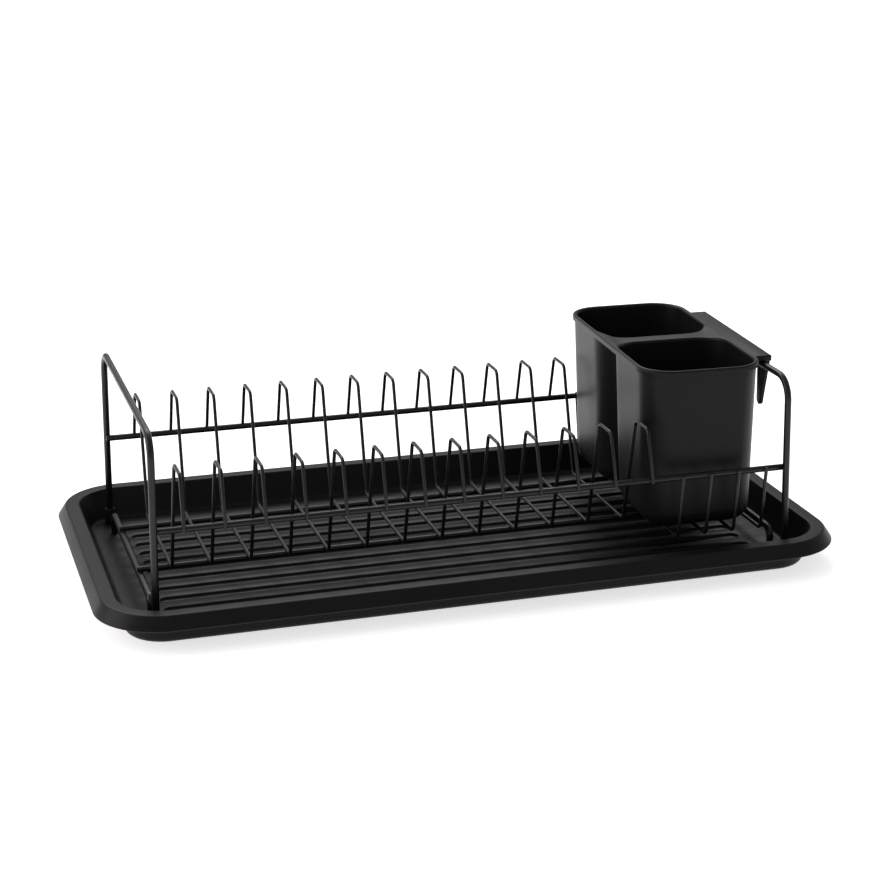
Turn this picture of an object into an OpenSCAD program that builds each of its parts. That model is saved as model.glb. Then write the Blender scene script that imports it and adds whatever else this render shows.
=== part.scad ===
// Dish drying rack: a coated wire rack that stands in a drip tray, with a
// two-compartment cutlery holder hooked over its right end frame.
// Millimetres, +Z up, +X along the rack to the holder's end, +Y to the back.
// The origin is the centre of the tray's footprint, on the table.

/* [Rack] */
// Distance between the two end frames, centre to centre
frame_len = 460; // [380:1:560]
// Distance between an end frame's two legs, centre to centre
frame_depth = 227; // [185:1:280]
// Height of the rack, from the feet to the top of the end frames
rack_h = 138.5; // [125:0.5:175]
// Diameter of the end frames' and foot bars' wire
frame_wire = 5; // [4:0.1:6]
// Diameter of the front and rear rails
rail_wire = 4.5; // [3.5:0.1:5.4]
// Diameter of the two long floor wires
floor_wire = 4; // [3:0.1:5]
// Bend radius at an end frame's top corners, at the wire's centre
frame_bend = 16; // [8:1:24]
// Height of the rails above the feet, at the wire's centre
rail_h = 69; // [55:0.5:80]
// Height of the foot bars above the feet, at the wire's centre
foot_bar_h = 15; // [12:0.5:18]
// Distance from a leg to the foot bar's bent-down end
foot_bar_inset = 24; // [14:1:30]
// Bend radius of the foot bars, at the wire's centre
foot_bar_bend = 7; // [5:0.5:9]
// Depth that two crossing wires sink into each other at a weld
weld = 0.25; // [0.1:0.05:0.3]

/* [Foot caps] */
// Outside diameter of the plastic cap on each leg
cap_d = 7.6; // [6.6:0.1:10]
// Height of a cap
cap_h = 12; // [8:0.5:16]
// Thickness of a cap's closed end
cap_floor = 1.5; // [1:0.1:2.5]

/* [Dividers] */
// Diameter of the divider and basket wires
divider_wire = 2.5; // [2:0.1:3]
// Distance from the left end frame to the first divider
first_divider_gap = 20.7; // [16:0.1:28]
// Length of the holder's bay, from the last divider to the right end frame
bay_len = 103.3; // [95:0.1:130]
// Height of the divider loops above the feet, at the wire's centre
loop_h = 104.7; // [92:0.1:118]
// Length of a loop's level top
loop_top = 23.5; // [16:0.5:26]
// How far a loop's outer corner stands in from the rail's centre
loop_outer_inset = 7.5; // [5:0.5:10]
// How far a loop's inner leg leans in between its top and its foot
loop_lean = 23.2; // [14:0.1:28]
// Bend radius of the dividers, at the wire's centre
divider_bend = 5; // [3.5:0.5:7]
// Distance from a loop's foot to the floor wire inside it
floor_wire_inset = 11.3; // [7:0.1:16]

/* [Holder basket] */
// Spacing of the four basket wires under the holder
basket_pitch = 21.6; // [17:0.1:22]
// Distance from the right end frame to the nearest basket wire
basket_edge = 15.1; // [11:0.1:18]
// How far a basket wire's lower corner stands in from the rail's centre
basket_inset = 4.5; // [3.5:0.1:6]

/* [Cutlery holder] */
// Wall thickness of the holder's two tubs
tub_wall = 2.2; // [1.6:0.1:2.6]
// Corner radius of a tub's outside at the top
tub_corner = 24; // [20:1:30]
// Radius round a tub's lower edge
tub_bottom_radius = 12; // [8:1:14]
// How far each tub wall leans in from top to bottom
tub_taper = 3.6; // [1.5:0.1:4.5]
// Gap between the two tubs at the top
tub_gap = 10; // [8:0.5:16]
// Height of the holder's rim above the end frame's top
rim_rise = 6.5; // [5.5:0.1:9]
// How far the web between the tubs lies below the rim
web_drop = 1.8; // [0:0.1:2.4]
// How far the rim stands out from the tubs
rim_overhang = 1.5; // [1:0.1:3.5]
// Height of the rim's rolled edge
rim_h = 4.6; // [3.4:0.1:4.8]
// Clearance between the rim and the front rail, seen from above
holder_front_gap = 6.2; // [5:0.1:12]
// Clearance between the rim and the rear rail, seen from above
holder_rear_gap = 7; // [5:0.1:20]
// Clearance between the rim and the right end frame
holder_side_gap = 3.4; // [3:0.1:8]
// Clearance between the rim's left edge and the last divider, from above
holder_left_gap = 3.15; // [1.5:0.05:4]
// Clearance between a tub's bottom and the basket wires under it
holder_under_gap = 0.8; // [0.5:0.1:3]
// Angle at which the loosely hooked holder hangs, seen from above
holder_twist = 2.5; // [0:0.1:2.5]

/* [Hook] */
// Thickness of the hook's flange
flange_h = 4.4; // [2.5:0.1:5]
// Thickness of the hook's tabs
hook_wall = 2.5; // [2:0.1:3]
// Length of the flange along the end frame's top bar
flange_len = 138; // [100:1:140]
// Distance from an end of the flange to the nearer edge of its tab
tab_from_end = 3; // [2:0.5:8]
// Width of a tab where it leaves the flange
tab_top_w = 19; // [14:0.5:24]
// Width of a tab at its lower end
tab_bottom_w = 8; // [6:0.5:12]
// How far a tab hangs below the flange
tab_h = 38; // [24:0.5:44]
// Clearance between the hook's tabs and the bar that they hang outside
tab_clearance = 1; // [0.6:0.1:2]

/* [Tray] */
// Clearance on the floor between the foot caps and the wall's radius, at the ends
tray_end_gap = 10; // [6:0.1:24]
// Clearance on the floor between the foot caps and the wall's radius, front and back
tray_side_gap = 2.9; // [2:0.1:14]
// Clearance between the foot caps and the floor's round corners
tray_corner_gap = 0.75; // [0.5:0.05:1.5]
// Height of the tray
tray_h = 26; // [24:0.5:32]
// Thickness of the tray's walls and rim
tray_wall = 2.2; // [1.8:0.1:2.6]
// Level of the tray's floor above the table
tray_floor = 4; // [3.8:0.1:5]
// How far the wall leans out between the tray's foot and the rim
tray_lean = 6.8; // [4:0.1:9]
// Width of the rim's level top
rim_flat = 10.5; // [8:0.5:14]
// How far the skirt stands out from the rim's level top
skirt_out = 6; // [3:0.5:8]
// Height of the skirt
skirt_h = 9.5; // [7:0.5:12]
// Radius of the tray's lower outside edge
tray_foot_radius = 5; // [3:0.5:6]
// Radius between the tray's floor and its wall
tray_floor_radius = 4; // [2:0.5:7]
// Spacing of the drain channels in the floor
channel_pitch = 19; // [16:0.5:24]
// Width of a drain channel
channel_w = 9; // [6:0.5:9.5]
// Depth of a drain channel
channel_depth = 1.9; // [1.2:0.1:2]
// Distance from the tray wall's foot to the channels' ends
channel_end = 31; // [27:1:45]

/* [Hidden] */
$fn = 48;

DIVIDERS = 13;
BASKET_WIRES = 4;

black_wire = [0.13, 0.13, 0.14];
black_plastic = [0.17, 0.17, 0.18];
arc_step = 15;

// Levels and places of the rack
feet_z = tray_floor;
frame_r = frame_wire / 2;
rail_r = rail_wire / 2;
floor_r = floor_wire / 2;
divider_r = divider_wire / 2;
end_x = frame_len / 2;
leg_y = frame_depth / 2;
bar_z = feet_z + rack_h - frame_r;
rail_z = feet_z + rail_h;
rail_y = leg_y - frame_r - rail_r + weld;
foot_bar_z = feet_z + foot_bar_h;
foot_bar_y = leg_y - foot_bar_inset;
floor_wire_z = foot_bar_z + frame_r + floor_r - weld;
run_z = floor_wire_z + floor_r + divider_r - weld;
loop_z = feet_z + loop_h;
loop_outer_y = rail_y - loop_outer_inset;
loop_inner_y = loop_outer_y - loop_top;
loop_foot_y = loop_inner_y - loop_lean;
floor_wire_y = loop_foot_y - floor_wire_inset;
rail_reach = rail_r + divider_r - weld;
wire_end_past_rail = 2.5;
first_divider_x = -end_x + first_divider_gap;
last_divider_x = end_x - bay_len;
divider_pitch = (last_divider_x - first_divider_x) / (DIVIDERS - 1);

// Places of the cutlery holder: its own frame has the rim's centre at 0, 0
rim_left_x = last_divider_x + divider_r + holder_left_gap;
rim_right_x = end_x - frame_r - holder_side_gap;
rim_half_x = (rim_right_x - rim_left_x) / 2;
holder_x = (rim_right_x + rim_left_x) / 2;
rim_front_y = -rail_y + rail_r + holder_front_gap;
rim_rear_y = rail_y - rail_r - holder_rear_gap;
rim_half_y = (rim_rear_y - rim_front_y) / 2;
holder_y = (rim_rear_y + rim_front_y) / 2;
rim_z = bar_z + frame_r + rim_rise;
tub_bottom_z = run_z + divider_r + holder_under_gap;
tub_half_x = rim_half_x - rim_overhang;
tub_half_y = (rim_half_y - rim_overhang - tub_gap / 2) / 2;
tub_y = tub_gap / 2 + tub_half_y;
seat_gap = 0.02;
flange_z = bar_z + frame_r + seat_gap;
twist_reach = sin(holder_twist) * flange_len / 2;
tab_x = end_x + frame_r + tab_clearance + twist_reach - holder_x;
tub_foot_inset = tub_taper + tub_bottom_radius;
drain_d = 6;
drain_edge = 8.5;
drain_rows = [-1, 0, 1];

// Section of the tray: how far in from its foot's outline the wall meets the
// floor, and how far in the floor is level
edge_round = 1;
rim_in = tray_lean - tray_wall;
rim_out = rim_in + rim_flat;
wall_slant = atan2(tray_lean, tray_h - tray_wall - tray_foot_radius);
wall_foot_in = (tray_h - edge_round - tray_floor) * tan(wall_slant) - rim_in;
level_in = wall_foot_in + tray_floor_radius * tan((90 - wall_slant) / 2);
floor_lap = 1;

// Outline of the tray's foot: the caps stand clear of the walls and of the
// corners, whose radius is the largest that leaves the corner gap
cap_r = cap_d / 2;
tray_half_x = end_x + cap_r + tray_end_gap + level_in;
tray_half_y = leg_y + cap_r + tray_side_gap + level_in;
spare_x = tray_end_gap - tray_corner_gap;
spare_y = tray_side_gap - tray_corner_gap;
tray_corner = level_in + cap_r + tray_corner_gap + spare_x + spare_y
    + sqrt(2 * spare_x * spare_y);

// Channels in the floor and pockets under the lands between them
rib_wall = 1.5;
pocket_inset = 2;
cut_past = 1;
channel_half_x = tray_half_x - channel_end;
channels_each_way = floor((tray_half_y - tray_corner) / channel_pitch);

// A bend is a hair thicker than the wire, and the straights run into it
bend_swell = 0.02;
bend_run = 0.25;

// Points of an arc about c, from angle a to angle b
function arc(c, r, a, b) =
    let (n = max(2, ceil(abs(b - a) / arc_step)))
    [for (i = [0 : n]) c + r * [cos(a + (b - a) * i / n), sin(a + (b - a) * i / n)]];

// Direction from p to q, in degrees
function heading(p, q) = atan2(q[1] - p[1], q[0] - p[0]);

// The point at a distance d from p, on the way to q
function along(p, q, d) = p + d * [cos(heading(p, q)), sin(heading(p, q))];

// Turning angle at q on the way from p to s, positive to the left
function turn(p, q, s) =
    let (a = heading(q, s) - heading(p, q))
    a > 180 ? a - 360 : a < -180 ? a + 360 : a;

// Length of straight wire that a bend of radius r at q takes up
function setback(p, q, s, r) =
    r * tan(abs(turn(p, q, s)) / 2);

// End of a wire that comes from p and lies against a rail centred at c,
// on its outer side, reaching a little past the point of contact
function end_on_rail(p, c, side) =
    let (d = norm(c - p), a = heading(p, c) + side * asin(rail_reach / d))
    p + (sqrt(d * d - rail_reach * rail_reach) + wire_end_past_rail) * [cos(a), sin(a)];

// A straight round wire between two points of the drawing plane, that runs
// into the bends at its ends; an open end has no run
module straight_wire(p, q, r, run_p, run_q)
    translate([p[0], p[1], 0])
        rotate([0, 0, heading(p, q)])
            rotate([0, 90, 0])
                translate([0, 0, -run_p])
                    cylinder(h = norm(q - p) + run_p + run_q, r = r);

// The bend of a wire at q, on the way from p to s
module wire_bend(p, q, s, r, bend) {
    t = turn(p, q, s);
    side = t > 0 ? 1 : -1;
    start = along(q, p, setback(p, q, s, bend));
    h = heading(p, q);
    centre = start + side * bend * [-sin(h), cos(h)];
    translate([centre[0], centre[1], 0])
        rotate([0, 0, side > 0 ? h - 90 : h + 90 - abs(t)])
            rotate_extrude(angle = abs(t))
                translate([bend, 0])
                    circle(r = r + bend_swell);
}

// A wire bent in one plane along pts, with every corner rounded
module bent_wire(pts, r, bend) {
    last = len(pts) - 1;
    for (i = [0 : last - 1]) {
        p = i == 0 ? pts[0]
            : along(pts[i], pts[i + 1], setback(pts[i - 1], pts[i], pts[i + 1], bend));
        q = i == last - 1 ? pts[last]
            : along(pts[i + 1], pts[i], setback(pts[i], pts[i + 1], pts[i + 2], bend));
        straight_wire(p, q, r, i == 0 ? 0 : bend_run, i == last - 1 ? 0 : bend_run);
    }
    for (i = [1 : last - 1])
        wire_bend(pts[i - 1], pts[i], pts[i + 1], r, bend);
}

// Stands a drawing of y and z up at a distance x along the rack
module across_rack(x)
    translate([x, 0, 0])
        rotate([90, 0, 90])
            children();

// Sweeps a profile (outwards, up) round a rounded rectangle
module swept_round(half_x, half_y, r) {
    centres = [[1, 1], [-1, 1], [-1, -1], [1, -1]];
    for (q = [0 : 3]) {
        translate([centres[q][0] * (half_x - r), centres[q][1] * (half_y - r), 0])
            rotate([0, 0, 90 * q])
                rotate_extrude(angle = 90)
                    translate([r, 0])
                        children();
        rotate([0, 0, 90 * q])
            translate([q % 2 == 0 ? half_x : half_y, 0, 0])
                rotate([90, 0, 0])
                    linear_extrude(2 * ((q % 2 == 0 ? half_y : half_x) - r), center = true)
                        children();
    }
}

// A rounded rectangular plate that stands on z = 0
module rounded_plate(half_x, half_y, r, h) {
    translate([-half_x, -(half_y - r), 0])
        cube([2 * half_x, 2 * (half_y - r), h]);
    translate([-(half_x - r), -half_y, 0])
        cube([2 * (half_x - r), 2 * half_y, h]);
    for (sx = [-1, 1], sy = [-1, 1])
        translate([sx * (half_x - r), sy * (half_y - r), 0])
            cylinder(h = h, r = r);
}

// A slot with round ends along x
module slot(half_x, w, h) {
    translate([-(half_x - w / 2), -w / 2, 0])
        cube([2 * half_x - w, w, h]);
    for (s = [-1, 1])
        translate([s * (half_x - w / 2), 0, 0])
            cylinder(h = h, r = w / 2);
}

// Section of the tray's wall, rim and skirt; 0 is the foot's outline
module tray_section() {
    level_end = -level_in - floor_lap;
    skirt_foot = rim_out + skirt_out;
    skirt_slant = atan2(skirt_h, skirt_out);
    polygon(concat(
        [[level_end, 0]],
        arc([-tray_foot_radius, tray_foot_radius], tray_foot_radius, -90, 0),
        [[tray_lean, tray_h - tray_wall],
         [rim_out - tray_wall / 2, tray_h - tray_wall],
         [skirt_foot - tray_wall, tray_h - skirt_h],
         [skirt_foot, tray_h - skirt_h]],
        arc([rim_out - edge_round * tan(skirt_slant / 2), tray_h - edge_round],
            edge_round, 90 - skirt_slant, 90),
        arc([rim_in + edge_round, tray_h - edge_round], edge_round, 90, 180),
        arc([-level_in, tray_floor + tray_floor_radius],
            tray_floor_radius, -wall_slant, -90),
        [[level_end, tray_floor]]));
}

module drip_tray() {
    plate_inset = level_in + floor_lap / 2;
    channel_ys = [for (i = [-channels_each_way : channels_each_way]) i * channel_pitch];
    color(black_plastic)
        difference() {
            union() {
                swept_round(tray_half_x, tray_half_y, tray_corner)
                    tray_section();
                rounded_plate(tray_half_x - plate_inset, tray_half_y - plate_inset,
                              tray_corner - plate_inset, tray_floor);
            }
            for (y = channel_ys)
                translate([0, y, tray_floor - channel_depth])
                    slot(channel_half_x, channel_w, channel_depth + cut_past);
            for (i = [0 : len(channel_ys) - 2])
                translate([0, channel_ys[i] + channel_pitch / 2, -cut_past])
                    slot(channel_half_x - pocket_inset,
                         channel_pitch - channel_w - 2 * rib_wall,
                         channel_depth + cut_past);
        }
}

module end_frame(x)
    color(black_wire)
        across_rack(x)
            bent_wire([[-leg_y, feet_z + cap_floor], [-leg_y, bar_z],
                       [leg_y, bar_z], [leg_y, feet_z + cap_floor]],
                      frame_r, frame_bend);

module foot_cap()
    difference() {
        cylinder(h = cap_h, d = cap_d);
        translate([0, 0, cap_floor])
            cylinder(h = cap_h, r = frame_r);
    }

module foot_caps()
    color(black_plastic)
        for (x = [-end_x, end_x], y = [-leg_y, leg_y])
            translate([x, y, feet_z])
                foot_cap();

module rail(y)
    color(black_wire)
        translate([-end_x - frame_r / 2, y, rail_z])
            rotate([0, 90, 0])
                cylinder(h = frame_len + frame_r, r = rail_r);

module foot_bar(x)
    color(black_wire)
        across_rack(x)
            bent_wire([[-foot_bar_y, feet_z], [-foot_bar_y, foot_bar_z],
                       [foot_bar_y, foot_bar_z], [foot_bar_y, feet_z]],
                      frame_r, foot_bar_bend);

module floor_wire_along(y)
    color(black_wire)
        translate([0, y, floor_wire_z]) {
            translate([-end_x, 0, 0])
                rotate([0, 90, 0])
                    cylinder(h = frame_len, r = floor_r);
            for (s = [-1, 1])
                translate([s * end_x, 0, 0])
                    sphere(r = floor_r);
        }

// One wire makes the front loop, the level run under the plates and the
// rear loop, and its ends are welded to the outer faces of the rails
module divider(i) {
    front = end_on_rail([-loop_outer_y, loop_z], [-rail_y, rail_z], -1);
    rear = end_on_rail([loop_outer_y, loop_z], [rail_y, rail_z], 1);
    color(black_wire)
        across_rack(first_divider_x + i * divider_pitch)
            bent_wire([front,
                       [-loop_outer_y, loop_z], [-loop_inner_y, loop_z],
                       [-loop_foot_y, run_z], [loop_foot_y, run_z],
                       [loop_inner_y, loop_z], [loop_outer_y, loop_z],
                       rear],
                      divider_r, divider_bend);
}

// A wire that hangs from both rails and passes under the holder
module basket_wire(i) {
    corner_y = rail_y - basket_inset;
    front = end_on_rail([-corner_y, run_z], [-rail_y, rail_z], 1);
    rear = end_on_rail([corner_y, run_z], [rail_y, rail_z], -1);
    color(black_wire)
        across_rack(end_x - basket_edge - (BASKET_WIRES - 1 - i) * basket_pitch)
            bent_wire([front, [-corner_y, run_z], [corner_y, run_z], rear],
                      divider_r, divider_bend);
}

// Section of a tub's wall; 0 is the outside at the top
module tub_section() {
    turn_centre = [-tub_foot_inset, tub_bottom_z + tub_bottom_radius];
    polygon(concat(
        [[-tub_foot_inset - floor_lap, tub_bottom_z]],
        arc(turn_centre, tub_bottom_radius, -90, 0),
        [[0, rim_z], [-tub_wall, rim_z]],
        arc(turn_centre, tub_bottom_radius - tub_wall, 0, -90),
        [[-tub_foot_inset - floor_lap, tub_bottom_z + tub_wall]]));
}

module tub() {
    plate_inset = tub_foot_inset + floor_lap / 2;
    drain_x = tub_half_x - tub_foot_inset - drain_edge;
    drain_y = tub_half_y - tub_foot_inset - drain_edge;
    swept_round(tub_half_x, tub_half_y, tub_corner)
        tub_section();
    difference() {
        translate([0, 0, tub_bottom_z])
            rounded_plate(tub_half_x - plate_inset, tub_half_y - plate_inset,
                          tub_corner - plate_inset, tub_wall);
        for (ix = drain_rows, iy = drain_rows)
            translate([ix * drain_x, iy * drain_y, tub_bottom_z - cut_past])
                cylinder(h = tub_wall + 2 * cut_past, d = drain_d);
    }
}

// Section of the rolled edge round the rim; 0 is the rim's outside
module rim_section()
    polygon(concat(
        [[-rim_overhang - tub_wall / 2, rim_z - tub_wall],
         [-tub_wall, rim_z - tub_wall],
         [-tub_wall, rim_z - rim_h],
         [0, rim_z - rim_h]],
        arc([-edge_round, rim_z - edge_round], edge_round, 0, 90),
        [[-rim_overhang - tub_wall / 2, rim_z]]));

// The level web that joins the two tubs just below the rim, and fills the
// corners between them
module tub_web() {
    lap = tub_wall / 2;
    web_half_y = tub_gap / 2 + tub_corner;
    web_z = rim_z - web_drop - tub_wall;
    difference() {
        translate([-tub_half_x, -web_half_y, web_z])
            cube([2 * tub_half_x, 2 * web_half_y, tub_wall]);
        for (s = [-1, 1])
            translate([0, s * tub_y, web_z - cut_past])
                rounded_plate(tub_half_x - lap, tub_half_y - lap, tub_corner - lap,
                              tub_wall + 2 * cut_past);
    }
}

// A tab that hangs from the flange: straight on its inner side, and slanted
// on the side of the flange's end
module hook_tab()
    translate([tab_x, 0, flange_z])
        rotate([90, 0, 90])
            linear_extrude(hook_wall)
                polygon(concat(
                    [[0, flange_h], [0, 0]],
                    arc([tab_top_w - tab_bottom_w / 2, -tab_h + tab_bottom_w / 2],
                        tab_bottom_w / 2, -180, 0),
                    [[tab_top_w, flange_h]]));

module hook() {
    reach = tab_x + hook_wall - tub_half_x + tub_wall;
    translate([tub_half_x - tub_wall, -flange_len / 2, flange_z])
        cube([reach, flange_len, flange_h]);
    translate([0, -flange_len / 2 + tab_from_end, 0])
        hook_tab();
    mirror([0, 1, 0])
        translate([0, -flange_len / 2 + tab_from_end, 0])
            hook_tab();
}

module cutlery_holder()
    color(black_plastic)
        translate([holder_x, holder_y, 0])
            rotate([0, 0, -holder_twist]) {
                for (s = [-1, 1])
                    translate([0, s * tub_y, 0])
                        tub();
                swept_round(rim_half_x, rim_half_y, tub_corner + rim_overhang)
                    rim_section();
                tub_web();
                hook();
            }

drip_tray();
end_frame(-end_x);  // end_frame_left
end_frame(end_x);  // end_frame_right
foot_caps();
rail(-rail_y);  // front_rail
rail(rail_y);  // rear_rail
foot_bar(-end_x);  // foot_bar_left
foot_bar(end_x);  // foot_bar_right
floor_wire_along(-floor_wire_y);  // floor_wire_front
floor_wire_along(floor_wire_y);  // floor_wire_rear
for (i = [0 : DIVIDERS - 1])
    divider(i);
for (i = [0 : BASKET_WIRES - 1])
    basket_wire(i);
cutlery_holder();
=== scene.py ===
"""Dish drying rack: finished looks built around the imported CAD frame, in metres."""

import math

import bmesh
import bpy
from mathutils import Matrix, Vector, geometry, noise


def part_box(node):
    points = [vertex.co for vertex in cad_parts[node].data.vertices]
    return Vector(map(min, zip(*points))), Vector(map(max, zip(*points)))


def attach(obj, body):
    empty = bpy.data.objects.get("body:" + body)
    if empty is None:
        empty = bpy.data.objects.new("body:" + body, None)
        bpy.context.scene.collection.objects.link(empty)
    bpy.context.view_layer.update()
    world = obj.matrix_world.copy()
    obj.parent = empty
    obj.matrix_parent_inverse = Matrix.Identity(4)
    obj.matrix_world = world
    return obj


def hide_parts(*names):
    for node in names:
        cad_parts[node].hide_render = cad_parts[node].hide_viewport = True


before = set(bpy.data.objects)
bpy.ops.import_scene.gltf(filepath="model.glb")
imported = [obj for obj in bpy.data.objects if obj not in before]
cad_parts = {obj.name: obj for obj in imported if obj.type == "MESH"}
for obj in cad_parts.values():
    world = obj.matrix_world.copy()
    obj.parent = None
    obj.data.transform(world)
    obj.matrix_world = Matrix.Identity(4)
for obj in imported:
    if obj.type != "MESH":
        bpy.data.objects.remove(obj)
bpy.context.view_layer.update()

MM = 0.001
DIVIDERS = 13
BASKET_WIRES = 4

# Wires: bend radii at the wire's centre, and the shape of the divider loops
FRAME_BEND = 16 * MM
FOOT_BAR_BEND = 7 * MM
DIVIDER_BEND = 5 * MM
LOOP_TOP = 23.5 * MM
LOOP_OUTER_INSET = 7.5 * MM
LOOP_LEAN = 23.2 * MM
BASKET_INSET = 4.5 * MM
WIRE_PAST_RAIL = 2.5 * MM
WELD = 0.25 * MM
CAP_FLOOR = 1.5 * MM
SIDES = 24
BEND_STEP = math.radians(7)
END_SOFT = 0.35

# Welds: half sizes of the small beads, along x, y and z
FLOOR_BEAD = (1.7 * MM, 1.9 * MM, 0.7 * MM)
RAIL_BEAD = (1.7 * MM, 0.7 * MM, 1.9 * MM)
FRAME_BEAD = (2.0 * MM, 0.8 * MM, 2.0 * MM)
FOOT_BEAD = (2.0 * MM, 2.0 * MM, 1.15 * MM)
BEAD_WOBBLE = 0.12

# Tray
TRAY_WALL = 2.2 * MM
TRAY_FLOOR = 4 * MM
TRAY_CORNER = 28 * MM
TRAY_LEAN = 6.8 * MM
RIM_FLAT = 10.5 * MM
SKIRT_OUT = 6 * MM
SKIRT_H = 9.5 * MM
FOOT_RADIUS = 5 * MM
FLOOR_RADIUS = 4 * MM
CHANNELS_EACH_WAY = 5
CHANNEL_PITCH = 19 * MM
CHANNEL_W = 9 * MM
CHANNEL_DEPTH = 1.9 * MM
CHANNEL_END = 31 * MM
POCKET_W = 4.6 * MM
POCKET_INSET = 2 * MM
RECESS_SOFT = 0.6 * MM
CORNER_STEPS = 20
SIDE_STEPS = 12
SLOT_STEPS = 12
RECESS_STEPS = 8

# Cutlery holder, in its own frame with the rim's centre at 0, 0
HOLDER_CENTRE = (177.6 * MM, -0.4 * MM)
HOLDER_TWIST = math.radians(-2.5)
RIM_HALF = (46.5 * MM, 100.15 * MM)
RIM_OVERHANG = 1.5 * MM
RIM_H = 4.6 * MM
RIM_WALL = 1.0 * MM
TUB_WALL = 2.2 * MM
TUB_CORNER = 24 * MM
TUB_BOTTOM_RADIUS = 12 * MM
TUB_TAPER = 3.6 * MM
TUB_GAP = 10 * MM
WEB_DROP = 1.8 * MM
WEB_REACH = (44 * MM, 28 * MM)
WEB_SLOPE = (10 * MM, 20 * MM)
DRAIN_D = 6 * MM
DRAIN_EDGE = 8.5 * MM
DRAIN_SOFT = 0.5 * MM
FLANGE_LEN = 138 * MM
FLANGE_H = 4.4 * MM
GROOVE_W = 1.2 * MM
HOOK_WALL = 2.5 * MM
TAB_X = 58.9 * MM
TAB_FROM_END = 3 * MM
TAB_TOP_W = 19 * MM
TAB_BOTTOM_W = 8 * MM
TAB_H = 38 * MM
TAB_SOFT = 0.4 * MM
TAB_ROOT = 0.6


# ---------------------------------------------------------------- mesh tools
def finish_mesh(name, bm, body, material, replaced=()):
    """Turns a bmesh into a smooth-shaded piece that rides on a body."""
    bmesh.ops.remove_doubles(bm, verts=bm.verts, dist=1e-7)
    bmesh.ops.recalc_face_normals(bm, faces=bm.faces)
    mesh = bpy.data.meshes.new(name)
    bm.to_mesh(mesh)
    bm.free()
    for polygon in mesh.polygons:
        polygon.use_smooth = True
    piece = bpy.data.objects.new(name, mesh)
    bpy.context.scene.collection.objects.link(piece)
    mesh.materials.append(material)
    mesh.set_sharp_from_angle(angle=math.radians(38))
    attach(piece, body)
    if replaced:
        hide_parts(*replaced)


def bridge(bm, ring_a, ring_b):
    """Joins two closed rings of the same number of vertices with quads."""
    count = len(ring_a)
    for i in range(count):
        j = (i + 1) % count
        bm.faces.new((ring_a[i], ring_a[j], ring_b[j], ring_b[i]))


def arc(centre, radius, start, end, steps):
    """Points of an arc about centre in a plane, angles in degrees."""
    angles = [math.radians(start + (end - start) * i / steps) for i in range(steps + 1)]
    return [(centre[0] + radius * math.cos(a), centre[1] + radius * math.sin(a)) for a in angles]


def rounded_path(corners, bend):
    """A polyline in a plane with every inner corner rounded to the bend radius."""
    path = [Vector(corners[0])]
    for before, corner, after in zip(corners, corners[1:], corners[2:]):
        corner = Vector(corner)
        back = (Vector(before) - corner).normalized()
        ahead = (Vector(after) - corner).normalized()
        turn = math.pi - back.angle(ahead)
        reach = bend * math.tan(turn / 2)
        centre = corner + (back + ahead).normalized() * (bend / math.cos(turn / 2))
        first = corner + back * reach - centre
        side = 1 if first.cross(ahead) > 0 else -1
        steps = max(3, math.ceil(turn / BEND_STEP))
        for i in range(steps + 1):
            path.append(centre + Matrix.Rotation(side * turn * i / steps, 2) @ first)
    path.append(Vector(corners[-1]))
    return path


def tube(bm, path, radius):
    """A round wire swept along a path in space, its cut ends softened by a small radius."""
    soft = END_SOFT * radius
    tangents = []
    for i in range(len(path)):
        before = path[max(i - 1, 0)]
        after = path[min(i + 1, len(path) - 1)]
        tangents.append((after - before).normalized())
    up = Vector((0, 0, 1)) if abs(tangents[0].z) < 0.9 else Vector((0, 1, 0))
    normal = tangents[0].cross(up).normalized()
    stations = []
    for i, (point, tangent) in enumerate(zip(path, tangents)):
        normal = (normal - tangent * normal.dot(tangent)).normalized()
        side = tangent.cross(normal)
        stations.append((point, tangent, normal, side))
    rings = []

    def ring(station, shift, size):
        point, tangent, normal, side = station
        centre = point + tangent * shift
        turns = [2 * math.pi * k / SIDES for k in range(SIDES)]
        rings.append([bm.verts.new(centre + (normal * math.cos(t) + side * math.sin(t)) * size)
                      for t in turns])

    bevel = [(0.0, radius - soft), (0.3 * soft, radius - 0.3 * soft), (soft, radius)]
    for shift, size in bevel:
        ring(stations[0], shift, size)
    for station in stations[1:-1]:
        ring(station, 0, radius)
    for shift, size in reversed(bevel):
        ring(stations[-1], -shift, size)
    for a, b in zip(rings, rings[1:]):
        bridge(bm, a, b)
    bm.faces.new(list(reversed(rings[0])))
    bm.faces.new(rings[-1])


def rounded_loop(half_x, half_y, radius):
    """Points round a rounded rectangle, anticlockwise from its right side's end."""
    points = []
    for q, (sx, sy) in enumerate(((1, 1), (-1, 1), (-1, -1), (1, -1))):
        centre = Vector((sx * (half_x - radius), sy * (half_y - radius)))
        for i in range(CORNER_STEPS + 1):
            a = math.radians(90 * q + 90 * i / CORNER_STEPS)
            points.append(centre + Vector((math.cos(a), math.sin(a))) * radius)
        nx, ny = ((-1, 1), (-1, -1), (1, -1), (1, 1))[q]
        start = points[-1]
        end_centre = Vector((nx * (half_x - radius), ny * (half_y - radius)))
        a = math.radians(90 * (q + 1))
        end = end_centre + Vector((math.cos(a), math.sin(a))) * radius
        for i in range(1, SIDE_STEPS):
            points.append(start.lerp(end, i / SIDE_STEPS))
    return points


def loop_verts(bm, points, z, centre=(0, 0)):
    return [bm.verts.new((p[0] + centre[0], p[1] + centre[1], z)) for p in points]


def swept_section(bm, half_x, half_y, radius, section, centre=(0, 0)):
    """Sweeps an open section (outwards, up) round a rounded rectangle."""
    rings = []
    for u, z in section:
        points = rounded_loop(half_x + u, half_y + u, radius + u)
        rings.append(loop_verts(bm, points, z, centre))
    for a, b in zip(rings, rings[1:]):
        bridge(bm, a, b)
    return rings


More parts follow.
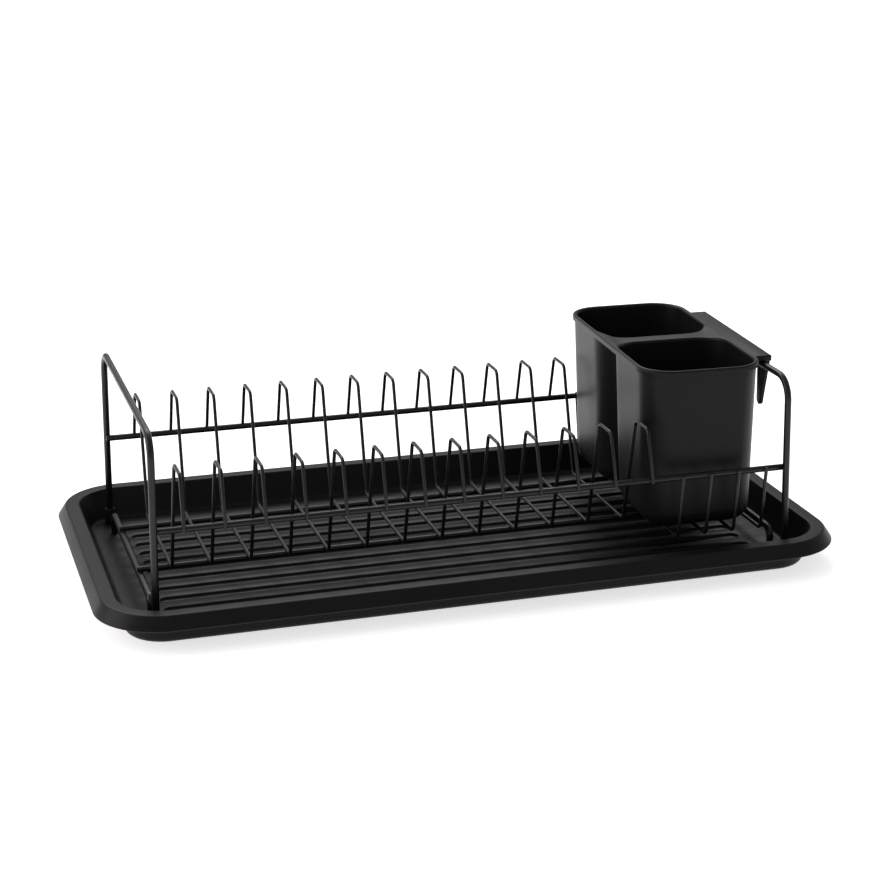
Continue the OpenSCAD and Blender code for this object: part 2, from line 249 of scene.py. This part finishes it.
def inside(point, loop):
    """Whether a point lies inside a closed loop of points."""
    hit = False
    for a, b in zip(loop, loop[1:] + loop[:1]):
        if (a[1] > point[1]) != (b[1] > point[1]):
            cross = a[0] + (point[1] - a[1]) / (b[1] - a[1]) * (b[0] - a[0])
            if point[0] < cross:
                hit = not hit
    return hit


def flat_fill(bm, outer, holes, z, extra=()):
    """Fills the level region between an outer loop and its holes with triangles."""
    points, edges = [], []
    for loop in [outer, *holes]:
        first = len(points)
        points.extend(Vector((p[0], p[1])) for p in loop)
        count = len(loop)
        edges.extend((first + i, first + (i + 1) % count) for i in range(count))
    points.extend(Vector(p) for p in extra)
    found, _, faces, *_ = geometry.delaunay_2d_cdt(points, edges, [], 0, 1e-9)
    verts = [bm.verts.new((p.x, p.y, z)) for p in found]
    for face in faces:
        middle = sum((found[i] for i in face), Vector((0, 0))) / len(face)
        if inside(middle, outer) and not any(inside(middle, hole) for hole in holes):
            bm.faces.new([verts[i] for i in face])


def slot_loop(half_x, width, y):
    """Points round a slot with round ends along x."""
    radius = width / 2
    points = [Vector(p) for p in arc((half_x - radius, y), radius, -90, 90, SLOT_STEPS)]
    points += [Vector(p) for p in arc((radius - half_x, y), radius, 90, 270, SLOT_STEPS)]
    return points


def smooth_step(t):
    return t * t * (3 - 2 * t)


# ----------------------------------------------------------------- materials
def node_material(name, base, roughness, **settings):
    """Starts a Principled material and returns it with its tree and shader."""
    material = bpy.data.materials.new(name)
    material.use_nodes = True
    tree = material.node_tree
    shader = tree.nodes["Principled BSDF"]
    shader.inputs["Base Color"].default_value = (*base, 1)
    shader.inputs["Roughness"].default_value = roughness
    for key, value in settings.items():
        shader.inputs[key.replace("_", " ")].default_value = value
    return material, tree, shader


def object_noise(tree, scale, detail, roughness=0.5):
    """Noise over the object's own coordinates, in cycles to the metre."""
    place = tree.nodes.new("ShaderNodeTexCoord")
    made = tree.nodes.new("ShaderNodeTexNoise")
    made.inputs["Scale"].default_value = scale
    made.inputs["Detail"].default_value = detail
    made.inputs["Roughness"].default_value = roughness
    tree.links.new(place.outputs["Object"], made.inputs["Vector"])
    return made


def spread(tree, source, low, high):
    """Maps a 0 to 1 value to a range."""
    made = tree.nodes.new("ShaderNodeMapRange")
    made.inputs["From Min"].default_value = 0.3
    made.inputs["From Max"].default_value = 0.7
    made.inputs["To Min"].default_value = low
    made.inputs["To Max"].default_value = high
    tree.links.new(source, made.inputs["Value"])
    return made.outputs["Result"]


def tint(tree, source, low, high):
    """Mixes two colours by a 0 to 1 value."""
    made = tree.nodes.new("ShaderNodeValToRGB")
    made.color_ramp.elements[0].position = 0.35
    made.color_ramp.elements[0].color = (*low, 1)
    made.color_ramp.elements[1].position = 0.65
    made.color_ramp.elements[1].color = (*high, 1)
    tree.links.new(source, made.inputs["Fac"])
    return made.outputs["Color"]


def add_bump(tree, shader, layers):
    """Stacks bump layers: (height output, strength, distance)."""
    last = None
    for height, strength, distance in layers:
        made = tree.nodes.new("ShaderNodeBump")
        made.inputs["Strength"].default_value = strength
        made.inputs["Distance"].default_value = distance
        tree.links.new(height, made.inputs["Height"])
        if last:
            tree.links.new(last, made.inputs["Normal"])
        last = made.outputs["Normal"]
    tree.links.new(last, shader.inputs["Normal"])


def moulded_plastic(name, dark, light, roughness, grain):
    """Satin moulded plastic: a fine spark-eroded grain and faint flow marks."""
    material, tree, shader = node_material(name, dark, sum(roughness) / 2, IOR=1.46)
    shader.inputs["Specular IOR Level"].default_value = 0.17
    flow = object_noise(tree, 9, 3)
    fine = object_noise(tree, grain, 2, 0.6)
    tree.links.new(tint(tree, flow.outputs["Fac"], dark, light), shader.inputs["Base Color"])
    tree.links.new(spread(tree, flow.outputs["Fac"], *roughness), shader.inputs["Roughness"])
    add_bump(tree, shader, [(flow.outputs["Fac"], 0.05, 0.002), (fine.outputs["Fac"], 0.22, 0.00006)])
    return material


def powder_coat(name, dark, light, roughness):
    """Satin powder coat: a soft orange peel, with small changes of gloss."""
    material, tree, shader = node_material(name, dark, sum(roughness) / 2, IOR=1.5)
    shader.inputs["Specular IOR Level"].default_value = 0.3
    shader.inputs["Coat Weight"].default_value = 0.05
    shader.inputs["Coat Roughness"].default_value = 0.25
    peel = object_noise(tree, 900, 2)
    patch = object_noise(tree, 60, 2)
    tree.links.new(tint(tree, patch.outputs["Fac"], dark, light), shader.inputs["Base Color"])
    tree.links.new(spread(tree, patch.outputs["Fac"], *roughness), shader.inputs["Roughness"])
    add_bump(tree, shader, [(peel.outputs["Fac"], 0.25, 0.00012)])
    return material


WIRE = powder_coat("black_powder_coat", (0.004, 0.004, 0.004), (0.006, 0.006, 0.006), (0.30, 0.38))
TRAY = moulded_plastic("tray_satin_plastic", (0.0044, 0.0044, 0.005), (0.006, 0.006, 0.0067),
                       (0.38, 0.45), 3200)
HOLDER = moulded_plastic("holder_satin_plastic", (0.0044, 0.0044, 0.005), (0.006, 0.006, 0.0067),
                         (0.36, 0.43), 4000)
CAP = moulded_plastic("cap_soft_plastic", (0.008, 0.008, 0.009), (0.011, 0.011, 0.012),
                      (0.52, 0.60), 2600)


# --------------------------------------------------------------------- wires
def in_plane_of(x, path):
    """Stands a path of y and z up at a distance x along the rack."""
    return [Vector((x, p[0], p[1])) for p in path]


def wire_piece(node, path, radius):
    """One of the rack's wires, swept along its path in place of its node."""
    bm = bmesh.new()
    tube(bm, path, radius)
    finish_mesh(node + "_wire", bm, "rack", WIRE, [node])


def upturned_u(node, bend):
    """An end frame or a foot bar, drawn from its node's box."""
    lo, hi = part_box(node)
    radius = (hi.x - lo.x) / 2
    corners = [(lo.y + radius, lo.z), (lo.y + radius, hi.z - radius),
               (hi.y - radius, hi.z - radius), (hi.y - radius, lo.z)]
    path = in_plane_of((lo.x + hi.x) / 2, rounded_path(corners, bend))
    wire_piece(node, path, radius)


def straight_wire(node):
    """A rail or floor wire: one straight length with softened ends."""
    lo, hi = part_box(node)
    radius = (hi.z - lo.z) / 2
    y, z = (lo.y + hi.y) / 2, (lo.z + hi.z) / 2
    steps = 12
    path = [Vector((lo.x + (hi.x - lo.x) * i / steps, y, z)) for i in range(steps + 1)]
    wire_piece(node, path, radius)


def end_on_rail(start, rail, reach, side):
    """Where a wire from start ends when it lies against the outer side of a rail."""
    away = Vector(rail) - Vector(start)
    angle = math.atan2(away.y, away.x) + side * math.asin(reach / away.length)
    run = math.sqrt(away.length ** 2 - reach ** 2) + WIRE_PAST_RAIL
    return (start[0] + run * math.cos(angle), start[1] + run * math.sin(angle))


def rail_place():
    """The front rail's y, z and radius; the rear rail mirrors it."""
    lo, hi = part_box("front_rail")
    return (lo.y + hi.y) / 2, (lo.z + hi.z) / 2, (hi.z - lo.z) / 2


def mirrored(corners):
    """Completes the front half of a wire with its mirror image at the rear."""
    return corners + [(-y, z) for y, z in reversed(corners)]


def divider(node):
    """One wire: the front loop, the level run under the plates and the rear loop."""
    lo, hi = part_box(node)
    radius = (hi.x - lo.x) / 2
    rail_y, rail_z, rail_r = rail_place()
    top, run = hi.z - radius, lo.z + radius
    outer = rail_y + LOOP_OUTER_INSET
    inner = outer + LOOP_TOP
    reach = rail_r + radius - WELD
    tip = end_on_rail((outer, top), (rail_y, rail_z), reach, -1)
    corners = mirrored([tip, (outer, top), (inner, top), (inner + LOOP_LEAN, run)])
    path = in_plane_of((lo.x + hi.x) / 2, rounded_path(corners, DIVIDER_BEND))
    wire_piece(node, path, radius)


def basket_wire(node):
    """A wire that hangs from both rails and passes under the holder."""
    lo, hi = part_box(node)
    radius = (hi.x - lo.x) / 2
    rail_y, rail_z, rail_r = rail_place()
    corner = (rail_y + BASKET_INSET, lo.z + radius)
    tip = end_on_rail(corner, (rail_y, rail_z), rail_r + radius - WELD, 1)
    path = in_plane_of((lo.x + hi.x) / 2, rounded_path(mirrored([tip, corner]), DIVIDER_BEND))
    wire_piece(node, path, radius)


def weld_bead(bm, place, size, seed):
    """A small coated weld nugget: a squashed ball, a little uneven."""
    made = bmesh.ops.create_icosphere(bm, subdivisions=3, radius=1.0)
    for v in made["verts"]:
        wobble = 1 + BEAD_WOBBLE * noise.noise(v.co * 1.7 + Vector((seed, 0, 0)))
        v.co = place + Vector((v.co.x * size[0], v.co.y * size[1], v.co.z * size[2])) * wobble


def weld_beads():
    """Welds where the wires cross on the rails, the floor wires and the foot bars."""
    bm = bmesh.new()
    seed = 0
    rail_y, rail_z, rail_r = rail_place()
    floor_lo, floor_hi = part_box("floor_wire_front")
    floor_y, floor_top = (floor_lo.y + floor_hi.y) / 2, floor_hi.z
    crossing = ["divider_%d" % (i + 1) for i in range(DIVIDERS)]
    crossing += ["basket_wire_%d" % (i + 1) for i in range(BASKET_WIRES)]
    for node in crossing:
        lo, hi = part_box(node)
        x = (lo.x + hi.x) / 2
        for side in (-1, 1):
            seed += 1
            weld_bead(bm, Vector((x, side * floor_y, floor_top)), FLOOR_BEAD, seed)
            edge = Vector((x, side * (-rail_y + rail_r), rail_z))
            weld_bead(bm, edge, RAIL_BEAD, seed + 0.5)
    for node in ("end_frame_left", "end_frame_right"):
        lo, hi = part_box(node)
        x = (lo.x + hi.x) / 2
        wire_r = (hi.x - lo.x) / 2
        for side in (-1, 1):
            seed += 1
            contact = side * (hi.y - 2 * wire_r)
            weld_bead(bm, Vector((x, contact, rail_z)), FRAME_BEAD, seed)
    for node in ("foot_bar_left", "foot_bar_right"):
        lo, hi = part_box(node)
        x = (lo.x + hi.x) / 2
        for side in (-1, 1):
            seed += 1
            weld_bead(bm, Vector((x, side * floor_y, hi.z)), FOOT_BEAD, seed)
    finish_mesh("weld_beads", bm, "rack", WIRE)


def foot_caps():
    """Moulded caps on the legs: a domed foot, straight sides and a rolled lip."""
    bm = bmesh.new()
    lo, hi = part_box("foot_caps")
    leg_lo, leg_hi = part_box("end_frame_left")
    wire_r = (leg_hi.x - leg_lo.x) / 2
    outer_r = hi.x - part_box("end_frame_right")[0].x - wire_r
    height = hi.z - lo.z
    lip = 0.5 * MM
    turn = 1.0 * MM
    section = arc((outer_r - turn, turn), turn, -90, 0, 5)
    section += arc((outer_r - lip, height - lip), lip, 0, 180, 8)
    section += [(wire_r, height - 2 * lip), (wire_r, CAP_FLOOR)]
    for node in ("end_frame_left", "end_frame_right"):
        box_lo, box_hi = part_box(node)
        x = (box_lo.x + box_hi.x) / 2
        for y in (box_lo.y + wire_r, box_hi.y - wire_r):
            rings = []
            for r, z in section:
                turns = [2 * math.pi * k / SIDES for k in range(SIDES)]
                rings.append([bm.verts.new((x + r * math.cos(t), y + r * math.sin(t), lo.z + z))
                              for t in turns])
            for a, b in zip(rings, rings[1:]):
                bridge(bm, a, b)
            bm.faces.new(list(reversed(rings[0])))
            bm.faces.new(rings[-1])
    finish_mesh("leg_caps", bm, "rack", CAP, ["foot_caps"])


# ---------------------------------------------------------------------- tray
def tray_section(height):
    """Section of the wall, rim and skirt from the floor's level edge round to the underside's."""
    rim_in = TRAY_LEAN - TRAY_WALL
    rim_out = rim_in + RIM_FLAT
    slant = math.atan2(TRAY_LEAN, height - TRAY_WALL - FOOT_RADIUS)
    foot_in = (height - MM - TRAY_FLOOR) * math.tan(slant) - rim_in
    level_in = foot_in + FLOOR_RADIUS * math.tan((math.pi / 2 - slant) / 2)
    skirt = math.atan2(SKIRT_H, SKIRT_OUT)
    outward = math.degrees(math.pi / 2 - skirt)
    inner_r, outer_r, hem_r = 1.6 * MM, 2.2 * MM, 0.7 * MM
    hem = rim_out + SKIRT_OUT
    under = height - TRAY_WALL
    points = arc((-level_in, TRAY_FLOOR + FLOOR_RADIUS), FLOOR_RADIUS, -90, -math.degrees(slant), 8)
    points += arc((rim_in + inner_r * math.cos(slant / 2), height - inner_r), inner_r,
                  180 - math.degrees(slant), 90, 6)
    points += arc((rim_out - outer_r * math.tan(skirt / 2), height - outer_r), outer_r,
                  90, outward, 6)
    points += arc((hem - hem_r * 1.4, height - SKIRT_H + hem_r), hem_r, outward, -90, 6)
    points += arc((hem - TRAY_WALL + 0.2 * MM, height - SKIRT_H + hem_r), hem_r, -90, -180 + outward, 4)
    points += arc((rim_out - TRAY_WALL / 2 - MM, under - MM), MM, outward, 90, 4)
    points += arc((TRAY_LEAN + MM, under - MM), MM, 90, 180 - math.degrees(slant), 4)
    points += arc((-FOOT_RADIUS, FOOT_RADIUS), FOOT_RADIUS, 0, -90, 8)
    points += [(-level_in, 0)]
    return points, level_in


def recess(bm, half_x, width, y, z, depth):
    """A slot pressed into a level face, with a soft S-shaped edge; returns its rim."""
    rings = []
    for i in range(RECESS_STEPS + 1):
        t = i / RECESS_STEPS
        inset = RECESS_SOFT * (2 * t - 1)
        loop = slot_loop(half_x - inset, width - 2 * inset, y)
        rings.append(loop_verts(bm, loop, z - depth * smooth_step(t)))
    for a, b in zip(rings, rings[1:]):
        bridge(bm, a, b)
    bm.faces.new(rings[-1])
    return slot_loop(half_x + RECESS_SOFT, width + 2 * RECESS_SOFT, y)


def drip_tray():
    """The tray: its section swept round, a floor with channels, pockets underneath."""
    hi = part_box("drip_tray")[1]
    section, level_in = tray_section(hi.z)
    out = TRAY_LEAN - TRAY_WALL + RIM_FLAT + SKIRT_OUT
    half_x, half_y = hi.x - out, hi.y - out
    bm = bmesh.new()
    swept_section(bm, half_x, half_y, TRAY_CORNER, section)
    edge = rounded_loop(half_x - level_in, half_y - level_in, TRAY_CORNER - level_in)
    channel_half_x = half_x - CHANNEL_END
    ys = [i * CHANNEL_PITCH for i in range(-CHANNELS_EACH_WAY, CHANNELS_EACH_WAY + 1)]
    channels = [recess(bm, channel_half_x, CHANNEL_W, y, TRAY_FLOOR, CHANNEL_DEPTH) for y in ys]
    flat_fill(bm, edge, channels, TRAY_FLOOR)
    between = [y + CHANNEL_PITCH / 2 for y in ys[:-1]]
    pockets = [recess(bm, channel_half_x - POCKET_INSET, POCKET_W, y, 0, -CHANNEL_DEPTH)
               for y in between]
    flat_fill(bm, edge, pockets, 0)
    finish_mesh("drip_tray_moulding", bm, "tray", TRAY, ["drip_tray"])


# ------------------------------------------------------------ cutlery holder
def holder_place():
    """Matrix from the holder's own frame to the rack's."""
    return (Matrix.Translation((HOLDER_CENTRE[0], HOLDER_CENTRE[1], 0))
            @ Matrix.Rotation(HOLDER_TWIST, 4, "Z"))


def tub_shell(bm, centre, half, rim_z, bottom_z, under_z, lip):
    """One tub: its lip, inner wall, floor with drain holes, and outer wall."""
    inset = TUB_TAPER + TUB_BOTTOM_RADIUS
    turn = (-inset, bottom_z + TUB_BOTTOM_RADIUS)
    inner_r = TUB_BOTTOM_RADIUS - TUB_WALL
    inner = arc((-TUB_WALL + lip, rim_z - lip), lip, 90, 180, 6)
    inner += arc(turn, inner_r, 0, -90, 10)
    outer = [(0, under_z)]
    outer += arc(turn, TUB_BOTTOM_RADIUS, 0, -90, 12)
    swept_section(bm, *half, TUB_CORNER, inner, centre)
    swept_section(bm, *half, TUB_CORNER, outer, centre)
    flat = [h - inset for h in half]
    edge = [Vector(centre) + p for p in rounded_loop(*flat, TUB_CORNER - inset)]
    pitch = [f - DRAIN_EDGE for f in flat]
    holes = []
    for ix in (-1, 0, 1):
        for iy in (-1, 0, 1):
            middle = Vector((centre[0] + ix * pitch[0], centre[1] + iy * pitch[1]))
            top_z, part = bottom_z + TUB_WALL, 0.3 * DRAIN_SOFT
            bore = [(DRAIN_SOFT, top_z), (part, top_z - part), (0, top_z - DRAIN_SOFT),
                    (0, bottom_z + DRAIN_SOFT), (part, bottom_z + part), (DRAIN_SOFT, bottom_z)]
            rings = []
            for grow, z in bore:
                circle = arc(middle, DRAIN_D / 2 + grow, 0, 360, SIDES)[:-1]
                rings.append(loop_verts(bm, circle, z))
            for a, b in zip(rings, rings[1:]):
                bridge(bm, a, b)
            mouth = arc(middle, DRAIN_D / 2 + DRAIN_SOFT, 0, 360, SIDES)[:-1]
            holes.append([Vector(p) for p in mouth])
    flat_fill(bm, edge, holes, bottom_z + TUB_WALL)
    flat_fill(bm, edge, holes, bottom_z)


def sag_web(bm, rim_z):
    """Dips the web between the tubs, with the lips beside it, in a soft saddle."""
    for v in bm.verts:
        if v.co.z > rim_z - RIM_H:
            along = min(max((WEB_REACH[0] - abs(v.co.x)) / WEB_SLOPE[0], 0), 1)
            across = min(max((WEB_REACH[1] - abs(v.co.y)) / WEB_SLOPE[1], 0), 1)
            v.co.z -= WEB_DROP * smooth_step(along) * smooth_step(across)


def rounded_box(bm, lo, hi, radius):
    """A box with softened edges, as its own closed shell."""
    made = bmesh.ops.create_cube(bm, size=1)
    size = Vector(hi) - Vector(lo)
    middle = (Vector(hi) + Vector(lo)) / 2
    for v in made["verts"]:
        v.co = Vector([v.co[i] * size[i] + middle[i] for i in range(3)])
    edges = list({e for v in made["verts"] for e in v.link_edges})
    bmesh.ops.bevel(bm, geom=edges, offset=radius, segments=4, profile=0.5, affect="EDGES")


def hook_tab(bm, x, z, side):
    """A tab that hangs outside the bar: straight inside, slanted at the flange's end."""
    near = side * (FLANGE_LEN / 2 - TAB_FROM_END)
    far = near - side * TAB_TOP_W
    tip_r = TAB_BOTTOM_W / 2
    tip = (far + side * tip_r, z - TAB_H + tip_r)
    outline = [(near, z + TAB_ROOT * FLANGE_H), (near, z)]
    outline += [(tip[0] + side * tip_r * math.cos(a), tip[1] + tip_r * math.sin(a))
                for a in [-math.pi * i / 12 for i in range(13)]]
    outline += [(far, z + TAB_ROOT * FLANGE_H)]
    outline = [Vector(p) for p in outline]
    middle = sum(outline, Vector((0, 0))) / len(outline)
    part = 0.3 * TAB_SOFT
    rings = []
    for depth, inset in ((0, TAB_SOFT), (part, part), (TAB_SOFT, 0),
                         (HOOK_WALL - TAB_SOFT, 0), (HOOK_WALL - part, part), (HOOK_WALL, TAB_SOFT)):
        ring = []
        for point in outline:
            moved = point + (middle - point).normalized() * inset
            ring.append(bm.verts.new((x + depth, moved.x, moved.y)))
        rings.append(ring)
    for a, b in zip(rings, rings[1:]):
        bridge(bm, a, b)
    bm.faces.new(rings[0])
    bm.faces.new(list(reversed(rings[-1])))


def cutlery_holder():
    """The two tubs, the rim round both, the sagging web and the hook, as one moulding."""
    lo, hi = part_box("cutlery_holder")
    rim_z, bottom_z = hi.z, lo.z
    bar_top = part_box("end_frame_right")[1].z
    half = (RIM_HALF[0] - RIM_OVERHANG, (RIM_HALF[1] - RIM_OVERHANG - TUB_GAP / 2) / 2)
    tub_y = TUB_GAP / 2 + half[1]
    under_z = rim_z - TUB_WALL
    lip, roll, hem = 2.2 * MM, 1.2 * MM, 0.4 * MM
    corner = TUB_CORNER + RIM_OVERHANG
    bm = bmesh.new()
    for side in (-1, 1):
        tub_shell(bm, (0, side * tub_y), half, rim_z, bottom_z, under_z, lip)

    rim = arc((-roll, rim_z - roll), roll, 90, 0, 6)
    rim += arc((-hem, rim_z - RIM_H + hem), hem, 0, -90, 4)
    rim += arc((-RIM_WALL + hem, rim_z - RIM_H + hem), hem, -90, -180, 4)
    rim += [(-RIM_WALL, under_z)]
    swept_section(bm, *RIM_HALF, corner, rim)

    def tub_loops(grow):
        loop = rounded_loop(half[0] + grow, half[1] + grow, TUB_CORNER + grow)
        return [[p + Vector((0, side * tub_y)) for p in loop] for side in (-1, 1)]

    outer = rounded_loop(RIM_HALF[0] - roll, RIM_HALF[1] - roll, corner - roll)
    web_points = [(i * 3 * MM, j * 2.5 * MM) for i in range(-14, 15) for j in range(-9, 10)]
    flat_fill(bm, outer, tub_loops(lip - TUB_WALL), rim_z, web_points)
    inner = rounded_loop(RIM_HALF[0] - RIM_WALL, RIM_HALF[1] - RIM_WALL, corner - RIM_WALL)
    flat_fill(bm, inner, tub_loops(0), under_z, web_points)
    sag_web(bm, rim_z)

    flange_x = RIM_HALF[0] + GROOVE_W
    rounded_box(bm, (RIM_HALF[0] - RIM_WALL, -FLANGE_LEN / 2, bar_top),
                (flange_x + 2 * GROOVE_W, FLANGE_LEN / 2, bar_top + HOOK_WALL), 0.3 * MM)
    rounded_box(bm, (flange_x, -FLANGE_LEN / 2, bar_top),
                (TAB_X + HOOK_WALL, FLANGE_LEN / 2, bar_top + FLANGE_H), 0.9 * MM)
    for side in (-1, 1):
        hook_tab(bm, TAB_X, bar_top, side)
    bmesh.ops.transform(bm, matrix=holder_place(), verts=bm.verts)
    finish_mesh("cutlery_holder_moulding", bm, "holder", HOLDER, ["cutlery_holder"])


# --------------------------------------------------------------- the product
for node in ("end_frame_left", "end_frame_right"):
    upturned_u(node, FRAME_BEND)
for node in ("foot_bar_left", "foot_bar_right"):
    upturned_u(node, FOOT_BAR_BEND)
for node in ("front_rail", "rear_rail", "floor_wire_front", "floor_wire_rear"):
    straight_wire(node)
for number in range(1, DIVIDERS + 1):
    divider("divider_%d" % number)
for number in range(1, BASKET_WIRES + 1):
    basket_wire("basket_wire_%d" % number)
weld_beads()
foot_caps()
drip_tray()
cutlery_holder()


# ---------------------------------------------------- floor, light and camera
def pale_floor():
    """A plain white floor that glows a little, so that it stays as pale as paper."""
    bm = bmesh.new()
    bmesh.ops.create_grid(bm, x_segments=8, y_segments=8, size=12)
    mesh = bpy.data.meshes.new("studio_floor")
    bm.to_mesh(mesh)
    bm.free()
    floor = bpy.data.objects.new("studio_floor", mesh)
    bpy.context.scene.collection.objects.link(floor)
    material, tree, shader = node_material("pale_paper", (0.9, 0.9, 0.9), 0.9)
    shader.inputs["Specular IOR Level"].default_value = 0.1
    shader.inputs["Emission Color"].default_value = (1, 1, 1, 1)
    shader.inputs["Emission Strength"].default_value = 0.68
    mesh.materials.append(material)


def area_light(name, place, target, size, power, colour=(1, 1, 1)):
    """A soft rectangular light at a place, turned to face a target."""
    light = bpy.data.lights.new(name, "AREA")
    light.shape = "RECTANGLE"
    light.size, light.size_y = size
    light.energy = power
    light.color = colour
    lamp = bpy.data.objects.new(name, light)
    lamp.location = place
    lamp.rotation_euler = (Vector(target) - Vector(place)).to_track_quat("-Z", "Y").to_euler()
    bpy.context.scene.collection.objects.link(lamp)


def studio_light():
    """White surroundings, a warm soft light on the left and a white one above and behind."""
    world = bpy.data.worlds.new("studio")
    bpy.context.scene.world = world
    world.use_nodes = True
    background = world.node_tree.nodes["Background"]
    background.inputs["Color"].default_value = (1, 1, 1, 1)
    background.inputs["Strength"].default_value = 0.4
    area_light("left_softbox", (-2.0, 0.3, 1.0), (0, 0, 0.05), (1.6, 1.6), 22, (1, 0.93, 0.89))
    area_light("top_softbox", (0.0, 1.6, 1.8), (0, 0, 0), (2.4, 1.4), 38)


CAMERA_PLACE = Vector((-0.42476, -1.46668, 0.56536))
CAMERA_YAW = math.radians(17.261)
CAMERA_PITCH = math.radians(12.164)
CAMERA_ROLL = math.radians(-0.113)
CAMERA_LENS = 87.32
CAMERA_SHIFT = (-0.0401, -0.2312)


def camera():
    """The camera at the photographed view, from its place, its angles and its shift."""
    data = bpy.data.cameras.new("camera")
    data.lens = CAMERA_LENS
    data.shift_x, data.shift_y = CAMERA_SHIFT
    body = bpy.data.objects.new("camera", data)
    bpy.context.scene.collection.objects.link(body)
    forward = Vector((math.sin(CAMERA_YAW) * math.cos(CAMERA_PITCH),
                      math.cos(CAMERA_YAW) * math.cos(CAMERA_PITCH), -math.sin(CAMERA_PITCH)))
    right = Vector((math.cos(CAMERA_YAW), -math.sin(CAMERA_YAW), 0))
    up = right.cross(forward)
    rolled_right = right * math.cos(CAMERA_ROLL) + up * math.sin(CAMERA_ROLL)
    rolled_up = up * math.cos(CAMERA_ROLL) - right * math.sin(CAMERA_ROLL)
    turn = Matrix((rolled_right, rolled_up, -forward)).transposed()
    body.matrix_world = Matrix.Translation(CAMERA_PLACE) @ turn.to_4x4()
    bpy.context.scene.camera = body


pale_floor()
studio_light()
camera()
bpy.context.scene.view_settings.view_transform = "Standard"
